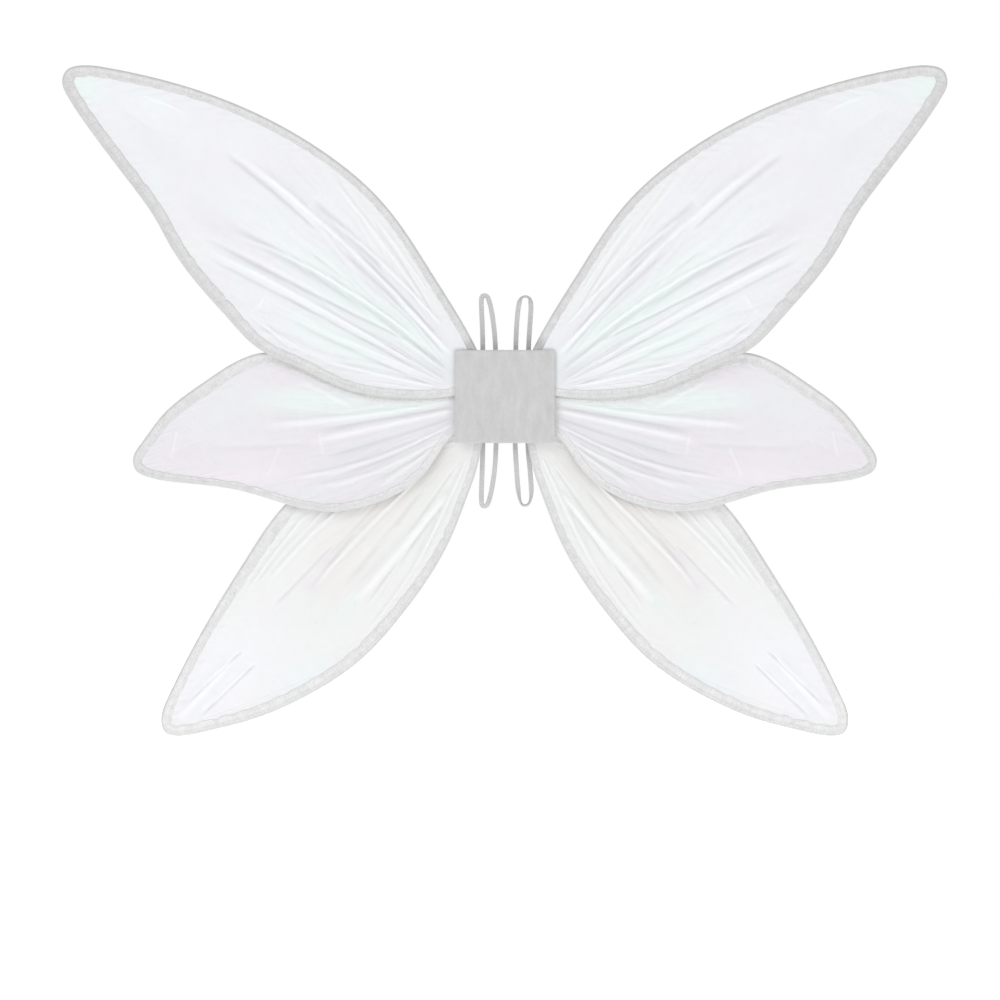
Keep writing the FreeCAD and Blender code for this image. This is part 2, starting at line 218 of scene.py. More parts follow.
# The hues that the film turns to.
TINTS = {
    "mint": (236, 247, 244), "pale": (240, 245, 246), "pearl": (241, 243, 242),
    "haze": (238, 239, 242), "silver": (247, 248, 251), "grey": (230, 231, 234),
    "lilac": (236, 232, 238), "rose": (244, 237, 244), "sand": (237, 235, 230),
    "dusk": (228, 227, 224),
}
# Broad patches of interference colour: middle, half length, half width, heading in degrees,
# hue and strength.
PATCHES = {
    "upper": [
        ((95, 62), 60, 13, 38, "mint", 0.9), ((140, 100), 50, 11, 38, "pale", 0.7),
        ((115, 38), 36, 9, 25, "mint", 0.9), ((62, 44), 24, 7, 48, "mint", 0.7),
        ((85, 79), 46, 7, 47, "grey", 0.7), ((82, 108), 60, 7, 55, "pearl", 0.8),
        ((72, 31), 34, 5, 35, "grey", 0.6), ((185, 110), 34, 8, 33, "lilac", 0.6),
        ((287, 213), 24, 12, 30, "mint", 0.8), ((240, 150), 14, 7, 60, "pale", 0.4),
        ((238, 199), 16, 6, 20, "pale", 0.7), ((130, 19), 44, 5, 20, "grey", 0.6),
        ((160, 72), 34, 8, 30, "pale", 0.6), ((235, 165), 40, 20, 40, "haze", 0.6),
        ((45, 18), 14, 7, 30, "grey", 0.9), ((214, 104), 10, 8, 30, "pearl", 0.5),
    ],
    "middle": [
        ((75, -8), 46, 5, -8, "mint", 0.8), ((130, -3), 40, 9, 5, "mint", 0.9),
        ((160, 13), 15, 8, 0, "lilac", 0.8), ((95, -32), 32, 6, -22, "grey", 0.8),
        ((132, -36), 22, 9, -10, "lilac", 0.8), ((185, -56), 38, 6, -8, "rose", 0.9),
        ((190, -8), 30, 12, -20, "haze", 0.7), ((226, -36), 16, 10, 0, "lilac", 0.8),
        ((118, -63), 34, 6, -15, "haze", 0.8), ((50, -18), 16, 5, -15, "grey", 0.8),
        ((62, -41), 18, 5, -38, "pearl", 0.6), ((165, -42), 30, 7, 0, "lilac", 0.5),
    ],
    "lower": [
        ((52, -48), 32, 12, -45, "dusk", 0.9), ((92, -82), 42, 15, -42, "sand", 0.9),
        ((112, -116), 32, 16, -50, "sand", 0.4), ((104, -142), 14, 8, -52, "mint", 0.6),
        ((150, -142), 28, 15, -55, "pearl", 0.8), ((195, -192), 52, 30, -45, "silver", 1.0),
        ((138, -192), 24, 14, -22, "pale", 0.9), ((131, -129), 6, 6, 0, "lilac", 0.5),
        ((122, -110), 9, 6, -40, "lilac", 0.4), ((42, -70), 22, 6, -65, "pearl", 0.6),
    ],
}

# ==== curves ====
def spline_samples(points, count):
    """A natural cubic spline through points: evenly spaced points along it, the share of the
    chord length at each, and the whole length."""
    knots = np.array(points, float)
    steps = np.linalg.norm(np.diff(knots, axis=0), axis=1)
    place = np.concatenate([[0.0], np.cumsum(steps)])
    size = len(knots)
    left = np.eye(size)
    right = np.zeros((size, knots.shape[1]))
    for i in range(1, size - 1):
        left[i, i - 1] = steps[i - 1]
        left[i, i] = 2 * (steps[i - 1] + steps[i])
        left[i, i + 1] = steps[i]
        slopes = (knots[i + 1] - knots[i]) / steps[i], (knots[i] - knots[i - 1]) / steps[i - 1]
        right[i] = 6 * (slopes[0] - slopes[1])
    bend = np.linalg.solve(left, right)
    fine = np.linspace(0, place[-1], 6000)
    i = np.clip(np.searchsorted(place, fine, side="right") - 1, 0, size - 2)
    step = steps[i][:, None]
    b = ((fine - place[i]) / steps[i])[:, None]
    a = 1 - b
    curve = a * knots[i] + b * knots[i + 1]
    curve += ((a ** 3 - a) * bend[i] + (b ** 3 - b) * bend[i + 1]) * step ** 2 / 6
    run = np.concatenate([[0.0], np.cumsum(np.linalg.norm(np.diff(curve, axis=0), axis=1))])
    even = np.linspace(0, run[-1], count)
    out = np.stack([np.interp(even, run, curve[:, k]) for k in range(knots.shape[1])], axis=1)
    return out, np.interp(even, run, fine / place[-1]), run[-1]


def smoothstep(low, high, value):
    """0 below low, 1 above high, and smooth between them."""
    t = np.clip((value - low) / (high - low), 0, 1)
    return t * t * (3 - 2 * t)


def wobble(values, seed, shortest, count=7):
    """Smooth seeded noise of one coordinate, about -1 to 1."""
    draw = np.random.default_rng(seed)
    total = np.zeros_like(values, dtype=float)
    for _ in range(count):
        length = shortest * draw.uniform(1.0, 3.2)
        total += np.sin(values * 2 * math.pi / length + draw.uniform(0, 2 * math.pi))
    return total / math.sqrt(count)


def ripple(x, z, seed, shortest, count=9):
    """Smooth seeded noise over a plane, about -1 to 1."""
    draw = np.random.default_rng(seed)
    total = np.zeros_like(x, dtype=float)
    for _ in range(count):
        length = shortest * draw.uniform(1.0, 2.6)
        way = draw.uniform(0, math.pi)
        along = x * math.cos(way) + z * math.sin(way)
        total += np.sin(along * 2 * math.pi / length + draw.uniform(0, 2 * math.pi))
    return total / math.sqrt(count)


class Edge:
    """The outer edge of one lobe, with its inward direction and its hem's width at each place."""

    COUNT = 2400

    def __init__(self, lobe):
        self.points, share, length = spline_samples(lobe["edge"], self.COUNT)
        along = np.gradient(self.points, axis=0)
        along /= np.linalg.norm(along, axis=1)[:, None]
        self.inward = np.stack([along[:, 1], -along[:, 0]], axis=1)
        marks = np.linspace(0, 1, len(lobe["hem"]))
        self.width = np.interp(share, marks, lobe["hem"])
        inside = (np.abs(self.points[:, 0]) < PAD_HALF_WIDTH - TUCK) & (
            np.abs(self.points[:, 1]) < PAD_HALF_HEIGHT - TUCK)
        reach = np.linalg.norm(self.points - np.array(lobe["focus"]), axis=1)
        self.tip = int(np.argmax(reach))
        self.first = int(np.max(np.nonzero(inside[: self.tip])[0]))
        self.last = self.tip + int(np.min(np.nonzero(inside[self.tip:])[0]))
        self.step = length / (self.COUNT - 1)

    def at(self, index, inset):
        """Points at fractional indices, moved inwards."""
        grid = np.arange(self.COUNT)
        out = np.stack([np.interp(index, grid, self.points[:, k]) for k in (0, 1)], axis=1)
        way = np.stack([np.interp(index, grid, self.inward[:, k]) for k in (0, 1)], axis=1)
        way /= np.linalg.norm(way, axis=1)[:, None]
        return out + way * np.reshape(inset, (-1, 1))

    def width_at(self, index):
        """The hem's width at fractional indices."""
        return np.interp(index, np.arange(self.COUNT), self.width)

    def room(self, points):
        """How far inside the hem's inner edge each point lies."""
        thin = slice(None, None, 4)
        rim = self.points[thin]
        wide = self.width[thin]
        rooms = []
        for start in range(0, len(points), 2000):
            block = points[start:start + 2000]
            gap = np.linalg.norm(block[:, None, :] - rim[None, :, :], axis=2)
            near = np.argmin(gap, axis=1)
            rooms.append(gap[np.arange(len(block)), near] - wide[near])
        return np.concatenate(rooms)


def pad_border_painted_light(flat):
    """How much painted light brightens film and tape where they come out from between the felts."""
    beyond_x = np.abs(flat[:, 0]) - PAD_HALF_WIDTH
    beyond_z = np.abs(flat[:, 1]) - PAD_HALF_HEIGHT
    outside = np.hypot(np.maximum(beyond_x, 0), np.maximum(beyond_z, 0))
    return 1 + PAD_BORDER_PAINTED_LIGHT * np.exp(-outside / PAD_BORDER_LIGHT_FADE)


def in_space(flat, height, lobe, side):
    """A lobe's flat points, some height off its plane, as points in metres on one side."""
    flat = np.array(flat, float)
    depth = np.full(len(flat), lobe["plane"]) - height
    if lobe["bend"]:
        normal, distance, tilt, way = lobe["bend"]
        normal = np.array(normal) / math.hypot(*normal)
        past = flat @ normal - distance
        turned = (past + np.sqrt(past ** 2 + SOFT_BEND ** 2)) / 2
        angle = math.radians(tilt)
        depth = depth + way * turned * math.sin(angle)
        flat = flat - normal * (turned * (1 - math.cos(angle)))[:, None]
    return np.stack([flat[:, 0] * side, depth, flat[:, 1]], axis=1) * MM


# ==== meshes ====
def add_object(name, data):
    """An object linked into the scene."""
    made = bpy.data.objects.new(name, data)
    bpy.context.scene.collection.objects.link(made)
    return made


def make_object(name, points, faces, side=1.0, uv=None, values=None, sharp=None):
    """A mesh object. Faces are turned over on the mirrored side, so that they all look outwards."""
    if side < 0:
        faces = [face[::-1] for face in faces]
    mesh = bpy.data.meshes.new(name)
    mesh.from_pydata([tuple(p) for p in points], [], [tuple(f) for f in faces])
    mesh.validate()
    for polygon in mesh.polygons:
        polygon.use_smooth = True
    if uv is not None:
        layer = mesh.uv_layers.new(name="Plan")
        corners = np.empty(len(mesh.loops), np.int32)
        mesh.loops.foreach_get("vertex_index", corners)
        layer.data.foreach_set("uv", np.asarray(uv, np.float32)[corners].reshape(-1))
    for key, data in (values or {}).items():
        data = np.asarray(data, np.float32)
        if data.ndim == 2:
            attribute = mesh.attributes.new(key, "FLOAT_COLOR", "POINT")
            rgba = np.concatenate([data, np.ones((len(data), 1), np.float32)], axis=1)
            attribute.data.foreach_set("color", rgba.reshape(-1))
        else:
            attribute = mesh.attributes.new(key, "FLOAT", "POINT")
            attribute.data.foreach_set("value", data)
    if sharp is not None:
        mesh.set_sharp_from_angle(angle=math.radians(sharp))
    mesh.update()
    return add_object(name, mesh)


def sheet_faces(rows, columns, start=0, turn=False):
    """Quads of a grid of rows by columns points."""
    quads = []
    for r in range(rows - 1):
        for c in range(columns - 1):
            a = start + r * columns + c
            quad = (a, a + 1, a + columns + 1, a + columns)
            quads.append(quad[::-1] if turn else quad)
    return quads


def wall_faces(rows, columns, turn=False):
    """Quads that join two layers of a grid of rows by columns points round their border."""
    rim = [r * columns for r in range(rows)]
    rim += [(rows - 1) * columns + c for c in range(1, columns)]
    rim += [r * columns + columns - 1 for r in range(rows - 2, -1, -1)]
    rim += list(range(columns - 2, 0, -1))
    count = rows * columns
    quads = [(a, b, b + count, a + count) for a, b in zip(rim, rim[1:] + rim[:1])]
    return [quad[::-1] for quad in quads] if turn else quads


def tube_faces(rings, around, start=0):
    """Quads round a run of closed rings, and a cap at each end."""
    faces = []
    for r in range(rings - 1):
        for c in range(around):
            d = (c + 1) % around
            a = start + r * around
            faces.append((a + c, a + d, a + around + d, a + around + c))
    faces.append(tuple(start + c for c in range(around))[::-1])
    end = start + (rings - 1) * around
    faces.append(tuple(end + c for c in range(around)))
    return faces


# ==== film ====
FILM_ROWS = 200
FILM_COLUMNS = 132
FILM_CAP = 9
FILM_TUCK = 3.6                 # the film's border lies this far in from the tape's outer edge
FILM_HALF = 0.08                # half the film's thickness
TIP_REACH = 9.0                 # the sheet's rows end this far short of the tip, in a rounded cap
# How strongly the folds' painted highlight and shade tint each film.
TONE_SHARE = {"upper": 1.0, "middle": 0.72, "lower": 0.85}
FAN_SHARE = {"upper": 0.15, "middle": 0.11, "lower": 0.07}
FOLD_LIMIT = 1.1                # a fold stands no further than this off its lobe's plane
FLANK = 2.4                     # how much wider the soft flanks of a fold are than the fold
CREASE_HALF_WIDTH = 0.75
CREASE_HEIGHT = 0.3
# How strongly a crease is painted with a highlight.
CREASE_TONE = 0.6
PUCKER = 0.10                   # height of the hem's puckers and of their painted light and shade


def linear(levels):
    """Screen values out of 255, as linear light."""
    share = np.array(levels, float) / 255
    return np.where(share <= 0.04045, share / 12.92, ((share + 0.055) / 1.055) ** 2.4)


def screen(red, green, blue):
    """A socket's colour from screen values out of 255."""
    return (*[float(v) for v in linear((red, green, blue))], 1.0)


def heading(way):
    """Unit vector at an angle in degrees."""
    turn = math.radians(way)
    return np.array([math.cos(turn), math.sin(turn)])


def fold_line(start, way, length, bow):
    """Points along a shallow arc from start, bowed to the left of its heading."""
    share = np.linspace(0, 1, 5)[:, None]
    side_step = 4 * bow * share * (1 - share) * heading(way + 90)
    return np.array(start, float) + length * share * heading(way) + side_step


def closeness(flat, line, near, far):
    """How close points are to a broken line whose half width goes from near to far, how close
    they are to its flanks, and the half width beside each."""
    steps = np.diff(line, axis=0)
    sizes = np.linalg.norm(steps, axis=1)
    run = np.concatenate([[0.0], np.cumsum(sizes)])
    best = np.full(len(flat), 1e9)
    where = np.zeros(len(flat))
    for start, step, size, before in zip(line, steps, sizes, run):
        along = np.clip((flat - start) @ step / size ** 2, 0, 1)
        gap = np.linalg.norm(flat - start - along[:, None] * step, axis=1)
        closer = gap < best
        best = np.where(closer, gap, best)
        where = np.where(closer, (before + along * size) / run[-1], where)
    spread = near + (far - near) * where
    ends = smoothstep(-0.06, 0.08, where) * (1 - smoothstep(0.75, 1.0, where))
    close = np.exp(-(best / spread) ** 2) * ends
    flank = np.exp(-(best / (FLANK * spread)) ** 2) * ends
    return close, flank, spread


def fold_field(lobe_name, flat, room):
    """Height and colour of the film at each point; folds get a painted highlight and shade."""
    lobe = LOBES[lobe_name]
    away = flat - np.array(lobe["focus"])
    reach = np.linalg.norm(away, axis=1)
    angle = np.degrees(np.arctan2(away[:, 1], away[:, 0]))
    height = np.zeros(len(flat))
    tone = np.zeros(len(flat))
    for start, way, length, bow, near, far, strength in FOLDS[lobe_name]:
        close, flank, spread = closeness(flat, fold_line(start, way, length, bow), near, far)
        tone += strength * (1.15 * close - 0.38 * flank)
        height += strength * close * np.minimum(0.55 + 0.35 * spread, 1.1)
    # Fine fan wrinkles, raised, with painted highlight and shade along them.
    fan = 0.55 * wobble(angle + 2.0 * wobble(reach, 12, 60.0), 31, 1.5, 9)
    fan += 0.45 * wobble(angle + 1.2 * wobble(reach, 13, 34.0), 32, 0.8, 9)
    extent = reach.max()
    fan *= smoothstep(10, 30, reach) * (1 - smoothstep(0.3 * extent, 0.75 * extent, reach))
    height += FAN_SHARE[lobe_name] * fan
    tone += FAN_SHARE[lobe_name] * fan
    height += 0.45 * ripple(flat[:, 0], flat[:, 1], 5, 44.0) * smoothstep(8, 30, room)
    pucker = wobble(angle * reach / 57.3 + flat[:, 0] * 0.3, 44, 2.4)
    pucker *= smoothstep(-1.0, 1.0, room) * (1 - smoothstep(2.0, 8.0, room))
    height += PUCKER * pucker
    tone += PUCKER * pucker
    for low, way, length, strength in CREASES[lobe_name]:
        run = length * heading(way)
        along = np.clip(((flat - low) @ run) / (run @ run), 0, 1)
        gap = np.linalg.norm(flat - low - along[:, None] * run, axis=1)
        line = strength * np.exp(-(gap / CREASE_HALF_WIDTH) ** 2)
        height += CREASE_HEIGHT * line
        tone += CREASE_TONE * line
    colour = np.tile(linear(BASE_TINT[lobe_name]), (len(flat), 1))
    for middle, half_length, half_width, way, tint, strength in PATCHES[lobe_name]:
        off = flat - np.array(middle, float)
        along = off @ heading(way) / half_length
        across = off @ heading(way + 90) / half_width
        share = (strength * np.exp(-along ** 2 - across ** 2))[:, None]
        colour = colour * (1 - share) + linear(TINTS[tint]) * share
    # Painted highlight on ridges and painted shade in troughs.
    for sign, tint in ((1, RIDGE_PAINTED_HIGHLIGHT), (-1, TROUGH_PAINTED_SHADE)):
        share = np.clip(sign * tone * TONE_SHARE[lobe_name], 0, 1)[:, None]
        colour = colour * (1 - share) + linear(tint) * share
    colour = colour * np.array(FILM_RETURN[lobe_name])
    gate = smoothstep(0.0, 4.0, room) * smoothstep(6, 34, reach)
    return np.clip(height * gate, -FOLD_LIMIT, FOLD_LIMIT), colour


def make_film(name, edge, side, side_name):
    """The iridescent film of one lobe: a thin closed sheet with its tension folds."""
    lobe = LOBES[name]
    cap_reach = TIP_REACH / edge.step
    share = np.linspace(0, 1, FILM_ROWS)
    lead = edge.at(edge.first + (edge.tip - cap_reach - edge.first) * share, FILM_TUCK)
    trail = edge.at(edge.last + (edge.tip + cap_reach - edge.last) * share, FILM_TUCK)
    across = np.linspace(0, 1, FILM_COLUMNS)
    blend = across[None, :, None]
    body = lead[:, None, :] * (1 - blend) + trail[:, None, :] * blend
    arc = edge.at(edge.tip - cap_reach + 2 * cap_reach * across, FILM_TUCK)
    lift = np.linspace(0, 1, FILM_CAP + 1)[1:, None, None]
    cap = body[-1][None] * (1 - lift) + arc[None] * lift
    flat = np.concatenate([body.reshape(-1, 2), cap.reshape(-1, 2)])
    rows = FILM_ROWS + FILM_CAP
    room = edge.room(flat)
    height, colour = fold_field(name, flat, room)
    # painted light by the pad's border, against the shade the felts cast there
    colour *= pad_border_painted_light(flat)[:, None]
    points = np.concatenate([in_space(flat, height + half, lobe, side)
                             for half in (FILM_HALF, -FILM_HALF)])
    count = len(flat)
    # The cap's rows all start and end at the same two points, so its quads there lose a corner.
    same = np.arange(2 * count)
    for r in range(FILM_ROWS, rows):
        for c in (0, FILM_COLUMNS - 1):
            for layer in (0, count):
                same[layer + r * FILM_COLUMNS + c] = layer + (FILM_ROWS - 1) * FILM_COLUMNS + c
    faces = sheet_faces(rows, FILM_COLUMNS)
    faces += sheet_faces(rows, FILM_COLUMNS, count, True) + wall_faces(rows, FILM_COLUMNS)
    clean = []
    for face in faces:
        kept = []
        for index in (int(same[v]) for v in face):
            if index not in kept:
                kept.append(index)
        if len(kept) > 2:
            clean.append(kept)
    used = np.zeros(len(points), bool)
    used[np.unique(np.concatenate([np.array(f) for f in clean]))] = True
    place = np.cumsum(used) - 1
    clean = [[int(place[v]) for v in f] for f in clean]
    plan = np.tile(flat, (2, 1))[used]
    tints = {"Tint": np.tile(colour, (2, 1))[used]}
    return make_object(f"{side_name}_{name}_film_sheet", points[used], clean, side, plan, tints, 50)


# ==== hem ====
TAPE_STEP = 1.25                # between sections along the tape
WEAVE_PITCH = 0.62
WIRE_LINE = 0.7                 # from the tape's outer edge to the dark line over the wire
LIP_START = 3.7                 # where the two plies lie flat on the film


def hem_profile(width):
    """Half of the tape's section, as distance in from its outer edge and height off the middle."""
    steps = np.linspace(LIP_START, width - 0.5, 6)
    near = [(0.0, 0.0), (0.08, 0.42), (0.36, 0.84), (0.86, 1.10), (1.45, 1.20), (2.05, 1.12),
            (2.65, 0.86), (3.15, 0.62)]
    far = [(width - 0.12, 0.42), (width, 0.2)]
    return near + [(s, 0.5) for s in steps] + far


def make_hem(name, edge, side, side_name):
    """The folded woven tape round one lobe, with the wire showing as a round ridge in its edge."""
    lobe = LOBES[name]
    count = int((edge.last - edge.first) / (TAPE_STEP / edge.step))
    places = np.linspace(edge.first, edge.last, count)
    run = places * edge.step
    widths = edge.width_at(places) + 0.16 * wobble(run, 3, 7.0) + 0.10 * wobble(run, 4, 2.6)
    columns = len(hem_profile(8.0))
    pieces = []
    inner = []
    for column in range(columns):
        depth = np.array([hem_profile(w)[column][0] for w in widths])
        rise = np.array([hem_profile(w)[column][1] for w in widths])
        share = np.clip(depth / widths, 0, 1)
        pucker = 0.20 * wobble(run, 21, 5.2) * share ** 2
        slack = 1 + 0.05 * wobble(run, 22, 4.0) + 0.03 * wobble(run, 23 + column, 3.0)
        flat = edge.at(places, depth)
        pieces.append((flat, rise * slack + pucker, depth, 1))
        inner.append((flat, -rise * slack + pucker, depth, -1))
    ring = pieces + inner[-1:0:-1]
    around = len(ring)
    points = np.zeros((count, around, 3))
    uv = np.zeros((count, around, 2))
    inner_edge = np.zeros((count, around))
    shade = np.zeros((count, around))
    marks = np.linspace(edge.first, edge.last, len(HEM_PAINTED_LIGHT_AND_SHADE[name]))
    hem_light_and_shade = np.interp(places, marks, HEM_PAINTED_LIGHT_AND_SHADE[name])
    # painted shade where the upper hems bunch up at the pad's top corners
    if name == "upper":
        reach = np.linalg.norm(edge.at(places, 2.0) - np.array(CORNER_SHADE_PLACE), axis=1)
        hem_light_and_shade = hem_light_and_shade * (1 - CORNER_SHADE_STRENGTH * np.exp(-(reach / CORNER_SHADE_RADIUS) ** 2))
    for k, (flat, height, depth, face) in enumerate(ring):
        points[:, k] = in_space(flat, height, lobe, side)
        uv[:, k, 0] = run
        uv[:, k, 1] = depth * face
        inner_edge[:, k] = widths - depth
        # painted light by the pad's border, times the painted light and shade along the hem
        shade[:, k] = pad_border_painted_light(flat) * hem_light_and_shade
    faces = [f[::-1] for f in tube_faces(count, around)]
    values = {"inner": inner_edge.reshape(-1), "shade": shade.reshape(-1)}
    return make_object(f"{side_name}_{name}_hem_tape", points.reshape(-1, 3), faces, side,
                       uv.reshape(-1, 2), values)


STITCH_PITCH = 2.9
STITCH_LENGTH = 2.1
STITCH_RADIUS = 0.17
STITCH_IN = 1.5                 # from the tape's inner edge
# One stitch, along its length: place, thickness and lift.
STITCH_SHAPE = ((-1.0, 0.35, -0.10), (-0.8, 0.8, 0.02), (-0.3, 1.0, 0.10), (0.3, 1.0, 0.10),
                (0.8, 0.8, 0.02), (1.0, 0.35, -0.10))
STITCH_SIDES = 6


def make_stitches(name, edge, side, side_name):
    """The row of thread that closes the tape over the film, on both faces."""
    lobe = LOBES[name]
    pitch = STITCH_PITCH / edge.step
    half = STITCH_LENGTH / 2 / edge.step
    points = []
    faces = []
    centres = np.arange(edge.first + pitch, edge.last - pitch, pitch)
    draw = np.random.default_rng(77)
    for face in (1, -1):
        for centre in centres:
            lean = draw.uniform(-0.12, 0.12)
            depth = edge.width_at(centre) - STITCH_IN
            for along, thick, lift in STITCH_SHAPE:
                where = np.array([centre + along * half])
                middle = edge.at(where, depth + lean * along)[0]
                inward = edge.at(where, depth + 1.0)[0] - edge.at(where, depth)[0]
                for k in range(STITCH_SIDES):
                    way = 2 * math.pi * k / STITCH_SIDES
                    flat = middle + inward * math.cos(way) * STITCH_RADIUS * thick
                    height = face * (0.50 + lift + math.sin(way) * STITCH_RADIUS * thick)
                    points.append((flat[0], flat[1], height))
    points = np.array(points)
    space = in_space(points[:, :2], points[:, 2], lobe, side)
    size = STITCH_SIDES * len(STITCH_SHAPE)
    for start in range(0, len(points), size):
        ring = tube_faces(len(STITCH_SHAPE), STITCH_SIDES, start)
        faces += [f[::-1] for f in ring] if start < len(points) // 2 else ring
    return make_object(f"{side_name}_{name}_hem_stitches", space, faces, side)


# ==== pad ====
FELT_PITCH = 0.85               # between the points of a felt's mesh


def make_felt(layer, side, side_name):
    """One half of a felt square, from the middle to its outer cut edge."""
    if layer == "front":
        outer_y = -FELT * 2 - FELT_GAP
        inner_y = outer_y + FELT
    else:
        outer_y = 0.0
        inner_y = -FELT
    columns = int(PAD_HALF_WIDTH / FELT_PITCH) + 1
    rows = int(2 * PAD_HALF_HEIGHT / FELT_PITCH) + 1
    x = np.linspace(0, PAD_HALF_WIDTH, columns)
    z = np.linspace(-PAD_HALF_HEIGHT, PAD_HALF_HEIGHT, rows)
    grid_z, grid_x = np.meshgrid(z, x, indexing="ij")
    grid_x = grid_x.reshape(-1)
    grid_z = grid_z.reshape(-1)
    world_x = grid_x * side
    seed = 8 if layer == "front" else 9
    lumps = 0.10 * ripple(world_x, grid_z, seed, 9.0)
    lumps += 0.05 * ripple(world_x, grid_z, seed + 20, 2.6)
    border = np.minimum(PAD_HALF_WIDTH - grid_x, PAD_HALF_HEIGHT - np.abs(grid_z))
    roll = 0.42 * (1 - smoothstep(0, 1.1, border)) ** 2
    ragged = 0.12 * wobble(world_x * 1.7 + grid_z, seed + 40, 2.4)
    edge_x = np.where(grid_x > PAD_HALF_WIDTH - 0.01, ragged, 0)
    edge_z = np.where(np.abs(grid_z) > PAD_HALF_HEIGHT - 0.01, ragged * np.sign(grid_z), 0)
    way = 1 if outer_y > inner_y else -1
    flat_x = (grid_x - np.abs(edge_x)) * side
    flat_z = grid_z - np.abs(edge_z) * np.sign(grid_z)
    outer = np.stack([flat_x, outer_y - way * (roll + 0.14 - lumps * 0.9), flat_z], axis=1)
    inner = np.stack([flat_x, inner_y + way * roll * 0.6, flat_z], axis=1)
    points = np.concatenate([outer, inner]) * MM
    faces = sheet_faces(rows, columns, 0, way > 0)
    faces += sheet_faces(rows, columns, rows * columns, way < 0)
    faces += wall_faces(rows, columns, way > 0)
    uv = np.tile(np.stack([flat_x, flat_z], axis=1), (2, 1))
    return make_object(f"{layer}_felt_{side_name}_half", points, faces, side, uv, None, 42)


# ==== straps ====
STRAP_STEP = 0.4                # between sections along the strip
BRAID_PITCH = 1.15
STRAP_BORDER = 0.25             # the strip's rounded border
STRAP_CORDS = 8                 # gaps between the cords across its face


def route_line(name, route):
    """Points along the smooth line that has the route as its control points."""
    curve = bpy.data.curves.new(name + "_route", "CURVE")
    curve.dimensions = "3D"
    curve.resolution_u = 24
    spline = curve.splines.new("NURBS")
    spline.points.add(len(route) - 1)
    for point, (x, z) in zip(spline.points, route):
        point.co = (x * MM, STRAP_Y * MM, z * MM, 1.0)
    spline.order_u = 3
    spline.use_endpoint_u = True
    holder = add_object(name + "_route", curve)
    bpy.context.view_layer.update()
    mesh = bpy.data.meshes.new_from_object(holder)
    line = np.array([v.co for v in mesh.vertices], float)
    bpy.data.meshes.remove(mesh)
    bpy.data.objects.remove(holder)
    bpy.data.curves.remove(curve)
    return line


def make_strap(side_name):
    """One flat braided elastic strip, turned on edge where it doubles back."""
    name = side_name + "_elastic"
    line = route_line(name, STRAPS[side_name])
    run = np.concatenate([[0.0], np.cumsum(np.linalg.norm(np.diff(line, axis=0), axis=1))])
    count = int(run[-1] / (STRAP_STEP * MM))
    even = np.linspace(0, run[-1], count)
    middle = np.stack([np.interp(even, run, line[:, k]) for k in range(3)], axis=1)
    along = np.gradient(middle, axis=0)
    along /= np.linalg.norm(along, axis=1)[:, None]
    across = np.stack([along[:, 2], np.zeros(count), -along[:, 0]], axis=1)
    deep = np.array([0.0, 1.0, 0.0])
    height = middle[:, 2] / MM
    start, end, most = STRAP_TWIST[side_name]
    start = np.where(height > 0, start, start + TWIST_SHIFT[0])
    end = np.where(height > 0, end, end + TWIST_SHIFT[1])
    twist = np.radians(most) * smoothstep(start, end, np.abs(height))
    twist = twist * np.sign(height)
    wide = across * np.cos(twist)[:, None] + deep * np.sin(twist)[:, None]
    thick = -across * np.sin(twist)[:, None] + deep * np.cos(twist)[:, None]
    half_w, half_t = STRAP_WIDTH / 2, STRAP_THICK / 2
    face = []
    for k in range(STRAP_CORDS + 1):
        place = (-1 + 2 * k / STRAP_CORDS) * (half_w - STRAP_BORDER)
        face.append((place, half_t - 0.09 * (k % 2)))
    face += [(half_w - 0.04, half_t * 0.5), (half_w - 0.04, -half_t * 0.5)]
    section = face + [(-w, -t) for w, t in face]
    around = len(section)
    rib = 0.035 * np.sin(2 * math.pi * even / MM / BRAID_PITCH)
    points = np.zeros((count, around, 3))
    uv = np.zeros((count, around, 2))
    for k, (w, t) in enumerate(section):
        swell = 1 + rib * (1 if k % 2 else -1)
        points[:, k] = middle + wide * w * MM + thick * (t * swell)[:, None] * MM
        uv[:, k, 0] = even / MM
        uv[:, k, 1] = w
    strap = make_object(name + "_strip", points.reshape(-1, 3), tube_faces(count, around), 1.0,
                        uv.reshape(-1, 2), None, 55)
    return strap, line


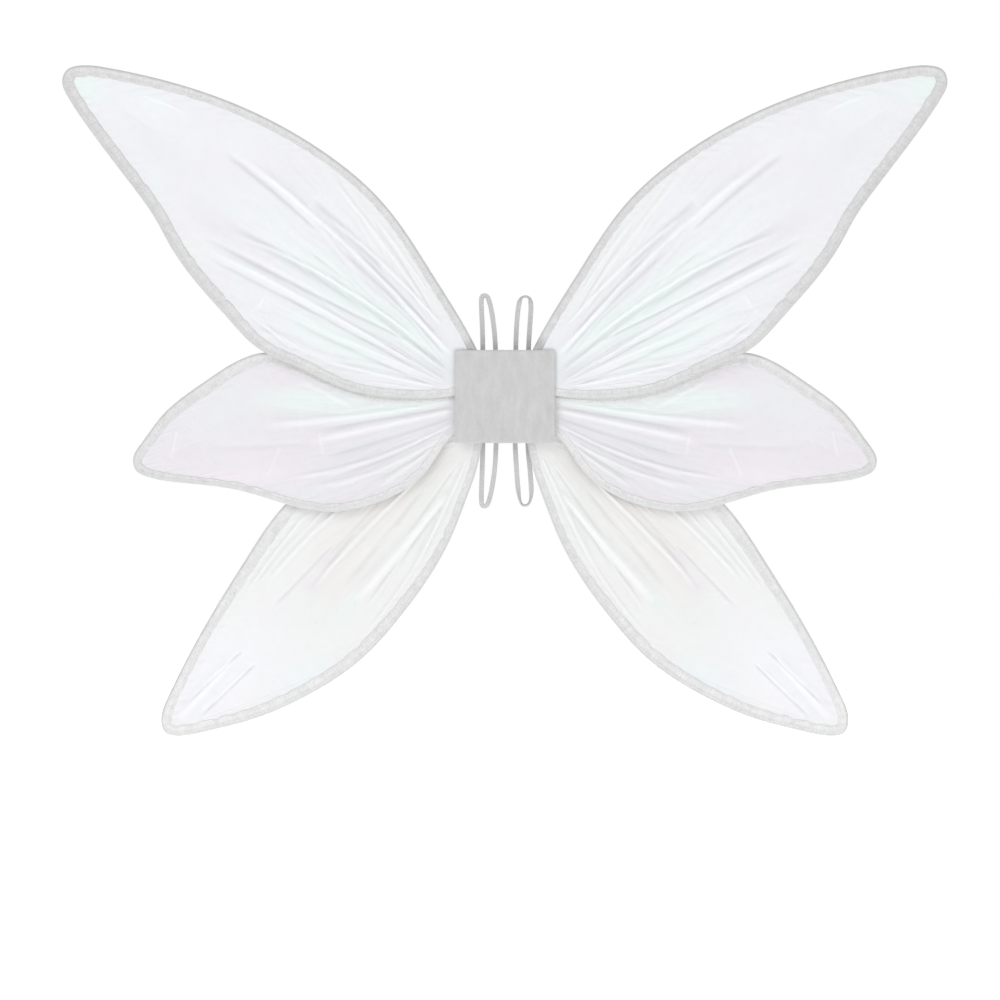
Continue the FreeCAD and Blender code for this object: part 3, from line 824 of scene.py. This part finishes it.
# ==== materials ====
class Nodes:
    """Short names for building one material's node tree."""

    def __init__(self, name):
        self.material = bpy.data.materials.new(name)
        self.material.use_nodes = True
        self.tree = self.material.node_tree
        self.shader = self.tree.nodes["Principled BSDF"]

    def new(self, kind, **inputs):
        node = self.tree.nodes.new(kind)
        for key, value in inputs.items():
            self.feed(node.inputs[key.replace("_", " ")], value)
        return node

    def feed(self, socket, value):
        if isinstance(value, bpy.types.NodeSocket):
            self.tree.links.new(value, socket)
        else:
            socket.default_value = value

    def math(self, operation, first, second=0.0, third=0.0):
        node = self.tree.nodes.new("ShaderNodeMath")
        node.operation = operation
        for index, value in enumerate((first, second, third)):
            self.feed(node.inputs[index], value)
        return node.outputs[0]

    def times(self, first, second):
        return self.math("MULTIPLY", first, second)

    def plus(self, first, second):
        return self.math("ADD", first, second)

    def mix(self, share, first, second, blend="MIX"):
        node = self.tree.nodes.new("ShaderNodeMix")
        node.data_type = "RGBA"
        node.blend_type = blend
        self.feed(node.inputs["Factor"], share)
        self.feed(node.inputs["A"], first)
        self.feed(node.inputs["B"], second)
        return node.outputs["Result"]

    def multiply(self, first, second):
        return self.mix(1.0, first, second, "MULTIPLY")

    def band(self, low, high, value):
        """Smooth 0 to 1 between low and high."""
        node = self.tree.nodes.new("ShaderNodeMapRange")
        node.interpolation_type = "SMOOTHSTEP"
        self.feed(node.inputs["Value"], value)
        node.inputs["From Min"].default_value = low
        node.inputs["From Max"].default_value = high
        return node.outputs["Result"]

    def attribute(self, name, kind="Fac"):
        node = self.tree.nodes.new("ShaderNodeAttribute")
        node.attribute_name = name
        return node.outputs[kind]

    def plan(self):
        """The two coordinates of the mesh's own plan."""
        node = self.tree.nodes.new("ShaderNodeUVMap")
        node.uv_map = "Plan"
        parts = self.new("ShaderNodeSeparateXYZ", Vector=node.outputs["UV"])
        return parts.outputs["X"], parts.outputs["Y"]

    def place(self):
        return self.new("ShaderNodeTexCoord").outputs["Object"]

    def vector(self, x, y, z=0.0):
        return self.new("ShaderNodeCombineXYZ", X=x, Y=y, Z=z).outputs["Vector"]

    def noise(self, vector, scale, detail=2.0, roughness=0.5):
        node = self.new("ShaderNodeTexNoise", Vector=vector, Scale=scale, Detail=detail,
                        Roughness=roughness)
        return node.outputs["Fac"]

    def grain(self, plan, scales, shift, detail, roughness=0.5):
        """Noise over the plan, with a scale of its own each way."""
        x, y = (self.times(part, scale) for part, scale in zip(plan, scales))
        return self.noise(self.vector(x, y, shift), 1.0, detail, roughness)

    def bump(self, height, strength, distance):
        node = self.new("ShaderNodeBump", Height=height, Strength=strength, Distance=distance)
        self.feed(self.shader.inputs["Normal"], node.outputs["Normal"])

    def set(self, **sockets):
        for key, value in sockets.items():
            self.feed(self.shader.inputs[key.replace("_", " ")], value)


def film_material(name, seed):
    """Thin iridescent film, finely crinkled; tints and painted fold shading come with its folds."""
    n = Nodes(name)
    plan = n.plan()
    crinkle = n.grain(plan, (0.16, 0.16), seed, 4.0, 0.62)
    shimmer = n.grain(plan, (0.035, 0.035), seed + 5.0, 2.0)
    blush = n.mix(n.band(0.35, 0.65, shimmer), (1.0, 0.990, 1.0, 1), (0.988, 1.0, 0.997, 1))
    veil = n.mix(n.band(0.3, 0.7, crinkle), (0.985, 0.985, 0.99, 1), (1.0, 1.0, 1.0, 1))
    colour = n.multiply(n.multiply(n.attribute("Tint", "Color"), blush), veil)
    n.set(Base_Color=colour, Roughness=n.plus(0.22, n.times(crinkle, 0.16)))
    n.bump(crinkle, 0.22, 0.0008)
    n.set(Specular_IOR_Level=0.35, Coat_Weight=0.25, Coat_Roughness=0.15, Alpha=0.88)
    n.set(Thin_Film_Thickness=430.0, Thin_Film_IOR=1.38)
    return n.material


def tape_material(name, dark, light, line):
    """Fine plain-woven tape: a darker line over the wire and another along its inner edge."""
    n = Nodes(name)
    along, depth = n.plan()
    across = n.math("ABSOLUTE", depth)
    turn = 2 * math.pi / WEAVE_PITCH
    weave = n.times(n.math("SINE", n.times(along, turn)), n.math("SINE", n.times(across, turn)))
    speck = n.noise(n.place(), 900.0, 2.0, 0.6)
    patch = n.noise(n.place(), 170.0, 3.0, 0.6)
    gather = n.grain((along, across), (0.9, 0.12), 0.0, 3.0, 0.6)
    tone = n.plus(n.times(weave, 0.12), n.times(speck, 0.40))
    tone = n.plus(n.plus(tone, n.times(patch, 0.35)), n.times(gather, 0.30))
    colour = n.mix(n.band(0.30, 0.78, tone), dark, light)
    off_line = n.math("ABSOLUTE", n.math("SUBTRACT", across, WIRE_LINE))
    wire = n.math("SUBTRACT", 1.0, n.band(0.3, 1.3, off_line))
    colour = n.mix(n.times(wire, line), colour, screen(192, 192, 192))
    faint = n.grain((along, across), (0.05, 0.0), 3.0, 3.0, 0.6)
    rim = n.times(n.band(0.7, 0.1, n.attribute("inner")), n.band(0.4, 0.6, faint))
    colour = n.mix(n.times(rim, 0.3), colour, screen(204, 203, 203))
    # the painted light and shade that each hem carries in its shade attribute
    shade = n.attribute("shade")
    colour = n.multiply(colour, n.vector(shade, shade, shade))
    n.set(Base_Color=colour, Roughness=0.8, Sheen_Weight=0.05, Sheen_Roughness=0.4)
    n.bump(n.plus(weave, n.times(n.plus(speck, gather), 0.8)), 0.45, 0.00012)
    return n.material


def felt_material():
    """Short-pile grey needle felt with faint upright mottling."""
    n = Nodes("felt_pile")
    plan = n.plan()
    drift = n.grain(plan, (0.16, 0.05), 0.0, 4.0, 0.6)
    clump = n.noise(n.place(), 520.0, 4.0, 0.7)
    fibre = n.grain(plan, (3.4, 1.0), 0.0, 5.0, 0.75)
    tone = n.plus(n.plus(n.times(drift, 0.5), n.times(clump, 0.25)), n.times(fibre, 0.2))
    colour = n.mix(n.band(0.25, 0.75, tone), screen(186, 186, 187), screen(206, 206, 206))
    n.set(Base_Color=colour, Roughness=0.94, Sheen_Weight=0.4, Sheen_Roughness=0.55)
    n.bump(n.plus(clump, fibre), 0.5, 0.00022)
    return n.material


def elastic_material():
    """Flat braided elastic: slanting threads over rubber cords."""
    n = Nodes("elastic_braid")
    along, across = n.plan()
    zigzag = n.math("PINGPONG", n.plus(across, 2.0), 0.5)
    slant = n.plus(n.times(along, 2 * math.pi / BRAID_PITCH), n.times(zigzag, 6.0))
    braid = n.math("SINE", slant)
    speck = n.noise(n.place(), 1800.0, 2.0, 0.6)
    tone = n.plus(n.times(braid, 0.3), speck)
    colour = n.mix(n.band(0.2, 0.9, tone), (0.46, 0.46, 0.465, 1), (0.68, 0.68, 0.68, 1))
    n.set(Base_Color=colour, Roughness=0.8, Sheen_Weight=0.3, Sheen_Roughness=0.4)
    n.bump(n.plus(braid, speck), 0.5, 0.00012)
    return n.material


def speckled_material(name, noise, colours, roughness, bump, **sockets):
    """A material whose tint, roughness and bumps follow one noise. Its roughness is a base and
    what the noise adds."""
    n = Nodes(name)
    speck = n.noise(n.place(), *noise)
    base, gain = roughness
    n.set(Base_Color=n.mix(speck, *colours), **sockets)
    n.set(Roughness=n.plus(base, n.times(speck, gain)) if gain else base)
    n.bump(speck, *bump)
    return n.material


FILMS = {name: film_material("film_" + name + "_tint", 3.0 * k) for k, name in enumerate(LOBES)}
TAPES = {
    "upper": tape_material("tape_upper", screen(202, 202, 202), screen(229, 229, 229), 0.5),
    "middle": tape_material("tape_middle", screen(209, 209, 209), screen(235, 235, 235), 0.4),
    "lower": tape_material("tape_lower", screen(211, 211, 211), screen(238, 238, 238), 0.5),
}
FELT_PILE = felt_material()
BRAID = elastic_material()
THREAD = speckled_material(
    "sewing_thread", (2400.0, 2.0, 0.6), ((0.66, 0.67, 0.67, 1), (0.84, 0.84, 0.84, 1)),
    (0.7, 0), (0.4, 0.00008), Sheen_Weight=0.2)
NODE_MATERIALS = {
    "wire": speckled_material(
        "galvanised_wire", (700.0, 3.0, 0.6), ((0.46, 0.47, 0.48, 1), (0.64, 0.65, 0.66, 1)),
        (0.28, 0.25), (0.2, 0.00005), Metallic=1.0),
    "ferrules": speckled_material(
        "crimped_aluminium", (900.0, 2.0, 0.5), ((0.62, 0.63, 0.64, 1), (0.80, 0.81, 0.82, 1)),
        (0.3, 0.2), (0.5, 0.0002), Metallic=1.0),
    "glue": speckled_material(
        "set_glue", (120.0, 2.0, 0.5), ((0.78, 0.77, 0.72, 1), (0.90, 0.89, 0.86, 1)),
        (0.25, 0.15), (0.6, 0.0006), Subsurface_Weight=0.3),
    "tacks": THREAD,
}


def finish_cad_nodes():
    """Give every solid that stays in view its material."""
    for node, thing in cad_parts.items():
        for word, material in NODE_MATERIALS.items():
            if word in node:
                thing.data.materials.clear()
                thing.data.materials.append(material)


# ==== building ====
def attach(piece, name, side_name):
    """Let a lobe's piece follow its half; a bent lobe's piece only has its place baked into its
    mesh.
    """
    lobe = LOBES[name]
    if not lobe["bend"]:
        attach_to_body(piece, side_name + "_half")
        return
    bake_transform(piece)


def build_lobe(name, side, side_name):
    """Film, tape and stitches of one lobe."""
    edge = Edge(LOBES[name])
    stem = f"{side_name}_{name}_"
    parts = {
        "film": make_film(name, edge, side, side_name),
        "hem": make_hem(name, edge, side, side_name),
        "stitches": make_stitches(name, edge, side, side_name),
    }
    parts["film"].data.materials.append(FILMS[name])
    parts["hem"].data.materials.append(TAPES[name])
    parts["stitches"].data.materials.append(THREAD)
    for kind in ("film", "hem"):
        nodes = [stem + kind]
        if LOBES[name]["bend"]:
            nodes.append(stem + kind + "_root")
        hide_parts(*nodes)
    for piece in parts.values():
        attach(piece, name, side_name)
    ring = edge.at(np.linspace(edge.first, edge.last, 400), FILM_TUCK)


def build_pad():
    """Both felts, each in two halves that meet in the middle."""
    for layer in ("front", "back"):
        for side_name, side in SIDES:
            piece = make_felt(layer, side, side_name)
            piece.data.materials.append(FELT_PILE)
            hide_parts(layer + "_felt")
            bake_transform(piece)


def build_straps():
    """The two elastic arm loops."""
    for side_name, _ in SIDES:
        strap, line = make_strap(side_name)
        strap.data.materials.append(BRAID)
        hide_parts(side_name + "_strap")
        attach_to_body(strap, side_name + "_half")


# ==== stage ====
FLOOR_HALF = 6.0
FLOOR_DROP = 0.004              # how far the floor lies below the part
WORLD_STRENGTH = 0.52           # the light that the backdrop gives; the camera sees it white
FRAME_WIDTH = 0.68              # what the picture takes in at the upper lobes
LENS = 250.0
SENSOR = 36.0
CAMERA_X, CAMERA_Z = -0.0033, -0.0704
LAMPS = (                       # name, place, size and power; each points at the origin
    ("key_light", (-1.1, -1.5, 1.2), 1.1, 12.0),
    ("fill_light", (1.4, -1.3, 0.3), 1.4, 5.5),
    ("rim_light", (0.3, 1.4, 1.0), 1.2, 5.0),
)


def build_floor():
    """Pale floor under the part."""
    mesh = bpy.data.meshes.new("studio_floor")
    corners = ((-FLOOR_HALF, -FLOOR_HALF), (FLOOR_HALF, -FLOOR_HALF), (FLOOR_HALF, FLOOR_HALF),
               (-FLOOR_HALF, FLOOR_HALF))
    level = CAD_BOX[0][2] - FLOOR_DROP
    mesh.from_pydata([(x, y, level) for x, y in corners], [], [(0, 1, 2, 3)])
    n = Nodes("studio_floor_paint")
    shade = n.mix(n.noise(n.place(), 3.0), (0.93, 0.93, 0.93, 1), (0.95, 0.95, 0.95, 1))
    n.set(Base_Color=shade, Roughness=0.9, Emission_Color=(1.0, 1.0, 1.0, 1.0),
          Emission_Strength=0.6)
    mesh.materials.append(n.material)
    add_object("studio_floor", mesh)


def build_world():
    """Even backdrop light, and a white backdrop behind the part."""
    world = bpy.data.worlds.new("studio_world")
    bpy.context.scene.world = world
    world.use_nodes = True
    tree = world.node_tree
    choose = tree.nodes.new("ShaderNodeMixShader")
    path = tree.nodes.new("ShaderNodeLightPath")
    tree.links.new(path.outputs["Is Camera Ray"], choose.inputs["Fac"])
    backdrops = (tree.nodes["Background"], tree.nodes.new("ShaderNodeBackground"))
    for index, strength in enumerate((WORLD_STRENGTH, 1.0)):
        backdrops[index].inputs["Color"].default_value = (1, 1, 1, 1)
        backdrops[index].inputs["Strength"].default_value = strength
        tree.links.new(backdrops[index].outputs["Background"], choose.inputs[index + 1])
    tree.links.new(choose.outputs["Shader"], tree.nodes["World Output"].inputs["Surface"])


def build_stage():
    """Floor, backdrop, lamps and the camera."""
    build_floor()
    build_world()
    for name, place, wide, power in LAMPS:
        data = bpy.data.lights.new(name, "AREA")
        data.size = wide
        data.energy = power
        lamp = add_object(name, data)
        lamp.location = place
        lamp.rotation_euler = (-Vector(place)).to_track_quat("-Z", "Y").to_euler()
    camera_data = bpy.data.cameras.new("studio_camera")
    camera_data.lens = LENS
    camera_data.sensor_width = SENSOR
    camera_data.clip_end = 50.0
    camera = add_object("studio_camera", camera_data)
    distance = FRAME_WIDTH * LENS / SENSOR
    camera.location = (CAMERA_X, LOBES["upper"]["plane"] * MM - distance, CAMERA_Z)
    camera.rotation_euler = (math.radians(90), 0, 0)
    bpy.context.scene.camera = camera
    bpy.context.scene.view_settings.view_transform = "Standard"


build_stage()
build_straps()
for lobe_name in LOBES:
    for side_name, side in SIDES:
        build_lobe(lobe_name, side, side_name)
build_pad()
finish_cad_nodes()
